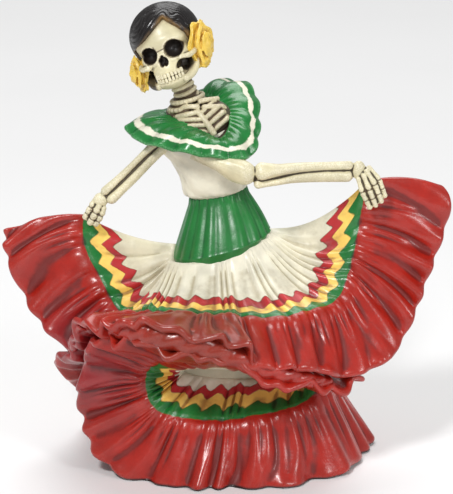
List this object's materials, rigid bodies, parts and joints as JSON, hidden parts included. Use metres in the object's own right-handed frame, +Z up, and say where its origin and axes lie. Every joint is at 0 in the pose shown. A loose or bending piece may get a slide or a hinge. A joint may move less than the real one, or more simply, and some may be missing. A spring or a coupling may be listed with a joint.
{
  "type": "day of the dead skeleton dancer figurine",
  "caption": "Cast resin figurine of a skeleton folk dancer who holds out a wide ruffled skirt and stands on its train.",
  "frame": {"origin": "on the floor, at the middle of the flat underside, under the dancer's body", "axes": "+Z up from the floor to the crown, -Y to the front where the face and the skirt's scoop look, +X to the right of someone who faces it"},
  "size_m": [0.1939, 0.1182, 0.2],
  "materials": {
    "painted_resin": "hand painted cast resin, satin with gloss on the hair and the red ruffles"
  },
  "bodies": {
    "root": {"dancer_figure": "painted_resin"}
  },
  "joints": []
}
